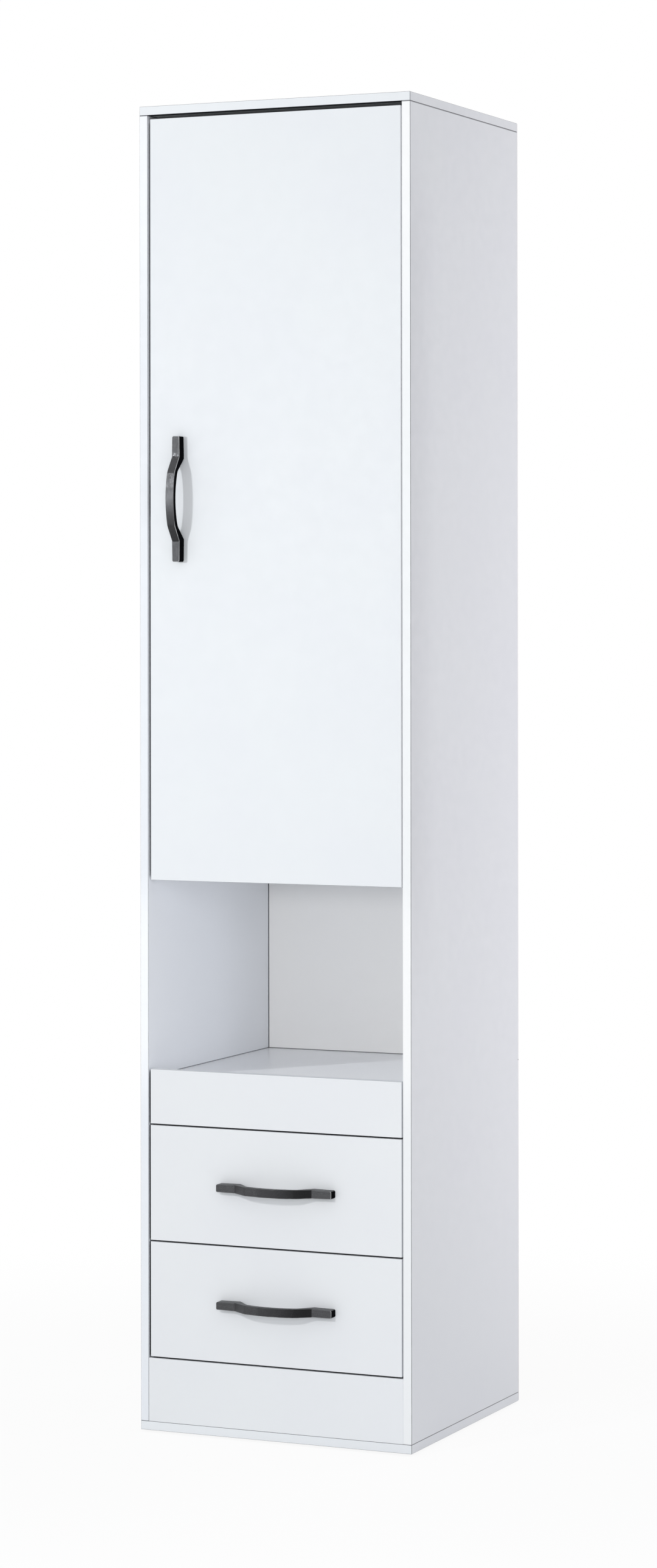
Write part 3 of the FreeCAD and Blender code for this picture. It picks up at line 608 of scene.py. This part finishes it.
def end_board(name):
    """The top and the bottom panel, with painted shade in narrow gaps and on their rounded edges, and
    painted shade without gloss in the gap over the door.
    """
    graph = Graph(name)
    color, roughness, peel = melamine(graph)
    place = graph.axes(graph.place)
    facing = graph.axes(graph.facing)
    sideways = graph.between(graph.unsigned(facing[0]), *turned)
    outward = graph.between(graph.unsigned(place[0]), outer_x - face_far, outer_x - face_near)
    color = seam_and_scuffs(graph, color, sideways, outward)
    color = graph.mix(graph.crevice(end_gap), color, painted_shade)
    color = graph.mix(shaded_edges(graph), color, edge_grey)
    down = graph.fall(facing[2], *turned_down)
    over_door = graph.fall(place[1], door_rear, door_rear + gap_depth)
    # Painted shade in the gap over the door, which also takes away the gloss there
    gap = graph.times(down, over_door, graph.crevice(top_gap, top_gap_reach))
    color = graph.mix(gap, color, painted_shade)
    gloss = graph.blend(gap, plain_gloss, 0.0)
    return graph.finish(color, roughness, peel, IOR=coating_index, Specular_IOR_Level=gloss)


# Thin boards

fibre_brown = (0.39, 0.28, 0.18)
fibre_tan = (0.5, 0.37, 0.24)
cloud_brown = (0.38, 0.26, 0.16)
fleck_brown = (0.2, 0.13, 0.08)


def hardboard(graph, clouds):
    """Colour of the raw brown face."""
    fibres = graph.between(graph.noise(*fibre_grain), *most_of_it)
    color = graph.mix(fibres, fibre_brown, fibre_tan)
    color = graph.mix(graph.between(clouds, *most_of_it, *back_cloud_share), color, cloud_brown)
    flecks = graph.between(graph.noise(*fleck_grain), *fleck_share)
    return graph.mix(flecks, color, fleck_brown)


def thin_board(name, axis, sign, corners):
    """Thin board, coated on the inner face and raw on the face that points along the axis."""
    graph = Graph(name)
    facing = graph.axes(graph.facing)[axis]
    raw = graph.between(graph.times(facing, sign), *raw_turned)
    clouds = graph.noise(*back_clouds)
    white = graph.mix(graph.between(clouds, *middle_of_it), back_white, back_mottle)
    if corners:
        place = graph.axes(graph.place)
        side = graph.line(graph.unsigned(place[0]), inner_x - joint_half, joint_half)
        foot = graph.line(place[2], niche_bottom + joint_half, joint_half)
        joint = graph.math("MAXIMUM", side, graph.times(foot, foot_joint_share))
        white = graph.mix(joint, white, joint_dark)
    color = graph.mix(raw, white, hardboard(graph, clouds))
    roughness = graph.between(raw, 0.0, 1.0, *back_rough)
    normal = graph.bump(graph.noise(*back_grain), *back_relief)
    return graph.finish(color, roughness, normal, IOR=back_index)


# Handles

def brushing(graph, length_axis):
    """Fine streaks along a handle."""
    scale = [streak_fine, streak_fine, streak_fine]
    scale[length_axis] = streak_long
    return graph.noise(*stretched_streaks, graph.stretched(tuple(scale)))


def bow_tone(graph, along, half, tones):
    """Painted shade and highlight of the bow: darker from its near to its far end, with a speckled
    painted highlight at the near bend.
    """
    reach = bow_share * half
    bow = graph.between(along, -reach, reach, tones["far"], tones["near"], smooth=False)
    start = graph.between(along, *[half * share for share in bend_start_shares])
    end = graph.fall(along, *[half * share for share in bend_end_shares])
    patches = graph.between(graph.noise(*bend_patches), *bend_patch_factor)
    specks = graph.between(graph.noise(*bend_specks), *middle_of_it, *bend_speck_factor)
    shine = graph.times(graph.times(start, end), graph.times(patches, specks))
    return graph.blend(shine, bow, tones["bend"])


def crease_glint(graph, along, half):
    """Share of the painted glint at the crease between the bow and the near foot."""
    crease = half - handle_foot
    ahead, near = glint_before
    behind, far = glint_after
    grain = graph.between(graph.noise(*glint_grain), *glint_part)
    return graph.times(graph.between(along, crease - ahead, crease - near),
                       graph.fall(along, crease + behind, crease + far), grain)


def handle_metal(name, node, across, tones, middle_shine, both_edges):
    """Dark brushed handle: grey front with fine grain, painted shade and highlights, near black sides,
    light arrises that are partly wear and partly painted highlight.
    """
    graph = Graph(name)
    upright = across == 0
    length_axis = 2 if upright else 0
    low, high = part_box(node)
    middle = (low[length_axis] + high[length_axis]) / 2
    half = (high[length_axis] - low[length_axis]) / 2
    place = graph.axes(graph.place)[length_axis]
    towards_near = 1.0 if upright else -1.0
    along = graph.times(graph.math("SUBTRACT", place, middle), towards_near)
    reach = graph.unsigned(along)
    foot = graph.between(reach, half - handle_foot - handle_blend, half - handle_foot)
    tip = graph.between(reach, half - tip_length, half - tip_length + handle_blend)

    facing = graph.axes(graph.facing)
    forward = graph.times(facing[1], -1.0)
    top = graph.between(facing[2], *top_lean, 0.0, top_share)
    front = graph.math("MAXIMUM", graph.between(forward, *front_lean), top)
    # Level handles get the painted highlight on their lower arris only
    side_tilt = graph.unsigned(facing[across]) if both_edges else graph.times(facing[across], -1.0)
    end_tilt = graph.unsigned(facing[length_axis])
    arris = graph.math("MAXIMUM", graph.slope(side_tilt), graph.times(graph.slope(end_tilt), tip))
    arris = graph.times(arris, graph.between(forward, *arris_ahead))
    edge_share = graph.between(graph.noise(*handle_wear_and_highlight), *handle_wear_and_highlight_share)
    shine_start, shine_end = [half * share for share in shine_shares]
    edge_share = graph.times(edge_share, graph.between(reach, shine_start, shine_end, middle_shine, 1.0))

    grain = graph.noise(*handle_grain)
    streaks = brushing(graph, length_axis)
    tone = graph.blend(foot, bow_tone(graph, along, half, tones), tones["foot"])
    tone = graph.blend(crease_glint(graph, along, half), tone, tones["glint"])
    tone = graph.times(tone, graph.between(grain, *most_of_it, *handle_grain_factor))
    tone = graph.times(tone, graph.between(streaks, *streak_factor))
    grey = graph.mix(tone, (0.0, 0.0, 0.0), handle_tint)
    color = graph.mix(front, handle_side, grey)
    color = graph.mix(graph.times(arris, edge_share), color, handle_edge)
    roughness = graph.between(streaks, *handle_rough)
    normal = graph.bump(streaks, *streak_relief)
    normal = graph.bump(grain, *grain_relief, normal)
    metal = graph.math("MAXIMUM", front, arris)
    gloss = graph.times(metal, plain_gloss)
    return graph.finish(color, roughness, normal, metallic=metal, Specular_IOR_Level=gloss)


# Fittings

zinc = ((0.6, 0.61, 0.63), (0.5, 0.52, 0.56))
die_cast = ((0.52, 0.52, 0.53), (0.42, 0.43, 0.45))
nickel = ((0.68, 0.67, 0.65), (0.6, 0.6, 0.59))
coat_white = ((0.8, 0.8, 0.79), (0.76, 0.765, 0.765))
roller_white = ((0.74, 0.73, 0.69), (0.68, 0.67, 0.62))
glide_white = ((0.7, 0.69, 0.66), (0.62, 0.61, 0.58))
catch_white = ((0.8, 0.8, 0.79), (0.75, 0.75, 0.74))
beech_dark = (0.42, 0.27, 0.15)
beech_light = (0.63, 0.46, 0.3)
beech_stretch = (900.0, 900.0, 120.0)
mark_grain = (4.0, 0.7)        # detail and roughness of the marks on plated steel
zinc_marks = 2600.0            # marks to the metre
die_cast_marks = 1700.0
nickel_marks = 1900.0
roller_softness = 0.15         # share of light that goes into a plastic
glide_softness = 0.1
catch_softness = 0.05
soft_depth = 0.002             # how deep it goes, in metres


def plated(name, colors, rough, fine):
    """Plated steel with faint clouds and fine marks."""
    graph = Graph(name)
    clouds = graph.between(graph.noise(*plate_clouds), *middle_of_it)
    marks = graph.noise(fine, *mark_grain)
    roughness = graph.between(marks, *most_of_it, *rough)
    normal = graph.bump(marks, *plate_relief)
    return graph.finish(graph.mix(clouds, *colors), roughness, normal, metallic=1.0)


def powder_coat(name):
    """White epoxy coat with a fine pebbled skin."""
    graph = Graph(name)
    clouds = graph.between(graph.noise(*coat_clouds), *middle_of_it)
    pebbles = graph.noise(*coat_pebbles)
    roughness = graph.between(pebbles, *most_of_it, *coat_rough)
    normal = graph.bump(pebbles, *coat_relief)
    return graph.finish(graph.mix(clouds, *coat_white), roughness, normal, IOR=coating_index)


def plastic(name, colors, rough, soft):
    """Moulded plastic with a faint cloudy tone and a fine skin."""
    graph = Graph(name)
    clouds = graph.between(graph.noise(*plastic_clouds), *middle_of_it)
    skin = graph.noise(*plastic_skin)
    roughness = graph.between(skin, *most_of_it, *rough)
    normal = graph.bump(skin, *plastic_relief)
    return graph.finish(graph.mix(clouds, *colors), roughness, normal, Subsurface_Weight=soft,
                        Subsurface_Scale=soft_depth, IOR=plastic_index)


def beech(name):
    """Raw beech with short dark rays along the grain."""
    graph = Graph(name)
    grain = graph.noise(*stretched_grain, graph.stretched(beech_stretch))
    color = graph.mix(graph.between(grain, *most_of_it), beech_dark, beech_light)
    normal = graph.bump(grain, *beech_relief)
    return graph.finish(color, beech_rough, normal)


def dress(material, *names):
    """Gives a material to the model's nodes."""
    for name in names:
        for slot in nodes[name].material_slots:
            slot.material = material


def board_materials():
    """Gives every board its material."""
    dress(side_board("left_side_board", "left_side_panel", left_band, left_band_light, False),
          "left_side_panel")
    dress(side_board("right_side_board", "right_side_panel", right_band, right_band_light, True),
          "right_side_panel")
    dress(end_board("end_board"), "top_panel", "bottom_panel")
    dress(front_board("door_board", full_edge, full_dark, door_right_dark, door_band), "door_panel")
    dress(front_board("front_board", soft_edge, full_dark, drawer_right_dark), *low_faces)
    dress(plain_board("inner_board", inner_white, inner_mottle), "compartment_floor",
          "lower_shelf", "middle_shelf", "upper_shelf")
    dress(niche_floor_board("niche_floor_board"), "niche_floor")
    dress(plain_board("drawer_box_board"), *[
        drawer + part
        for drawer in drawers
        for part in ("_left_side", "_right_side", "_back")
    ])
    dress(thin_board("back_board", 1, 1.0, True), "back_panel")
    dress(thin_board("drawer_bottom_board", 2, -1.0, False), "upper_drawer_bottom", "lower_drawer_bottom")


def fitting_materials():
    """Gives the handles and every fitting their materials."""
    upright_metal = handle_metal("upright_handle_metal", "door_handle", 0, upright_tones,
                                 upright_middle_shine, True)
    dress(upright_metal, "door_handle")
    level_metal = handle_metal("level_handle_metal", "upper_drawer_handle", 2, level_tones,
                               level_middle_shine, False)
    dress(level_metal, "upper_drawer_handle", "lower_drawer_handle")
    dress(plated("zinc_plate", zinc, zinc_rough, zinc_marks),
          "cam_bolts", "back_panel_nails", "wall_bracket", "fitting_screws", "door_handle_screws",
          "upper_drawer_handle_screws", "lower_drawer_handle_screws", "door_fitting_screws",
          "catch_plate", "upper_drawer_fasteners", "lower_drawer_fasteners")
    dress(plated("die_cast_zinc", die_cast, die_cast_rough, die_cast_marks), "cam_locks")
    dress(plated("nickel_plate", nickel, nickel_rough, nickel_marks),
          "hinge_plates", "hinge_arms", "hinge_cups", "hinge_pins", "shelf_pins")
    dress(powder_coat("runner_coat"), *[
        drawer + side + part
        for drawer in drawers
        for side in ("_left", "_right")
        for part in ("_cabinet_runner", "_runner")
    ])
    dress(plastic("roller_nylon", roller_white, roller_rough, roller_softness), *[
        drawer + part
        for drawer in drawers
        for part in ("_front_rollers", "_rear_rollers")
    ])
    dress(plastic("glide_nylon", glide_white, glide_rough, glide_softness), "floor_glides")
    dress(plastic("catch_plastic", catch_white, catch_rough, catch_softness), "magnetic_catch")
    dress(beech("beech"), "dowels")


# Room

def aimed(thing, place, target):
    """Puts a lamp somewhere, looking at a target."""
    thing.location = place
    thing.rotation_euler = (Vector(target) - Vector(place)).to_track_quat("-Z", "Y").to_euler()


def shines_on(holder, state, names):
    """Lets a lamp light only the named nodes, or all but them."""
    group = bpy.data.collections.new(holder.name + "_receivers")
    for name in names:
        group.objects.link(nodes[name])
    holder.light_linking.receiver_collection = group
    for entry in group.collection_objects:
        entry.light_linking.link_state = state


def area_light(name, place, target, size, power, tint, tall=None, link=None):
    """A round lamp, or an upright strip where a height is given, on all nodes or linked ones."""
    lamp = bpy.data.lights.new(name, "AREA")
    lamp.shape = "RECTANGLE" if tall else "DISK"
    lamp.size = size
    lamp.size_y = tall or size
    lamp.energy = power
    lamp.color = tint
    holder = bpy.data.objects.new(name, lamp)
    bpy.context.scene.collection.objects.link(holder)
    holder.visible_camera = False
    aimed(holder, place, target)
    if link:
        shines_on(holder, *link)


def lamps():
    """A key from the left, lamps for the drawers, the niche and the gaps, and light from the side."""
    for name, settings in lamp_settings.items():
        area_light(name, **settings)


def seen_share(tree):
    """1 for rays that show the background, to the eye or in metal and glass, else 0."""
    path = tree.nodes.new("ShaderNodeLightPath")
    first = tree.nodes.new("ShaderNodeMath")
    first.operation = "MAXIMUM"
    second = tree.nodes.new("ShaderNodeMath")
    second.operation = "MAXIMUM"
    tree.links.new(path.outputs["Is Camera Ray"], first.inputs[0])
    tree.links.new(path.outputs["Is Glossy Ray"], first.inputs[1])
    tree.links.new(first.outputs[0], second.inputs[0])
    tree.links.new(path.outputs["Is Transmission Ray"], second.inputs[1])
    return second.outputs[0]


def choose(tree, share, first, second, output):
    """Shows one shader where a share is 0 and another where it is 1."""
    choice = tree.nodes.new("ShaderNodeMixShader")
    tree.links.new(share, choice.inputs["Fac"])
    tree.links.new(first.outputs[0], choice.inputs[1])
    tree.links.new(second.outputs[0], choice.inputs[2])
    tree.links.new(choice.outputs[0], output.inputs["Surface"])


def plain_white(tree, kind):
    """A shader that is white whatever the light."""
    white = tree.nodes.new(kind)
    white.inputs["Color"].default_value = (*paper_white, 1.0)
    white.inputs["Strength"].default_value = white_level
    return white


def surroundings():
    """White to the eye, and even pale light on everything else."""
    world = bpy.data.worlds.new("studio")
    bpy.context.scene.world = world
    world.use_nodes = True
    tree = world.node_tree
    fill = tree.nodes["Background"]
    fill.inputs["Color"].default_value = (*fill_tint, 1.0)
    fill.inputs["Strength"].default_value = fill_level
    white = plain_white(tree, "ShaderNodeBackground")
    choose(tree, seen_share(tree), fill, white, tree.nodes["World Output"])


def floor_paint():
    """Matt grey near the cabinet, which melts into white for the eye."""
    paint = bpy.data.materials.new("studio_floor")
    paint.use_nodes = True
    tree = paint.node_tree
    tree.nodes.remove(tree.nodes["Principled BSDF"])
    matt = tree.nodes.new("ShaderNodeBsdfDiffuse")
    matt.inputs["Color"].default_value = (*floor_grey, 1.0)
    white = plain_white(tree, "ShaderNodeEmission")
    place = tree.nodes.new("ShaderNodeTexCoord")
    reach = tree.nodes.new("ShaderNodeVectorMath")
    reach.operation = "LENGTH"
    tree.links.new(place.outputs["Object"], reach.inputs[0])
    melt = tree.nodes.new("ShaderNodeMapRange")
    melt.interpolation_type = "SMOOTHSTEP"
    tree.links.new(reach.outputs["Value"], melt.inputs["Value"])
    melt.inputs["From Min"].default_value = floor_pool
    melt.inputs["From Max"].default_value = floor_melt
    melt.inputs["To Min"].default_value = floor_white_share
    melt.inputs["To Max"].default_value = 1.0
    seen = tree.nodes.new("ShaderNodeMath")
    seen.operation = "MULTIPLY"
    tree.links.new(seen_share(tree), seen.inputs[0])
    tree.links.new(melt.outputs["Result"], seen.inputs[1])
    choose(tree, seen.outputs[0], matt, white, tree.nodes["Material Output"])
    return paint


def floor():
    """Plain pale floor that keeps a faint shadow."""
    mesh = bpy.data.meshes.new("studio_floor")
    half = floor_half
    corners = [(-half, -half, 0), (half, -half, 0), (half, half, 0), (-half, half, 0)]
    mesh.from_pydata(corners, [], [(0, 1, 2, 3)])
    mesh.materials.append(floor_paint())
    slab = bpy.data.objects.new("studio_floor", mesh)
    bpy.context.scene.collection.objects.link(slab)


def camera():
    """The photograph's viewpoint: level, from the right of the front."""
    lens = bpy.data.cameras.new("camera")
    lens.lens = camera_lens
    lens.sensor_width = sensor_width
    lens.sensor_fit = "AUTO"
    lens.shift_y = camera_shift
    lens.clip_start = nearest_seen
    lens.clip_end = farthest_seen
    eye = bpy.data.objects.new("camera", lens)
    bpy.context.scene.collection.objects.link(eye)
    eye.location = camera_place
    eye.rotation_euler = [math.radians(angle) for angle in (camera_level, camera_roll, camera_turn)]
    bpy.context.scene.camera = eye


camera()
surroundings()
floor()
lamps()
board_materials()
fitting_materials()

scene = bpy.context.scene
scene.view_settings.view_transform = "Standard"
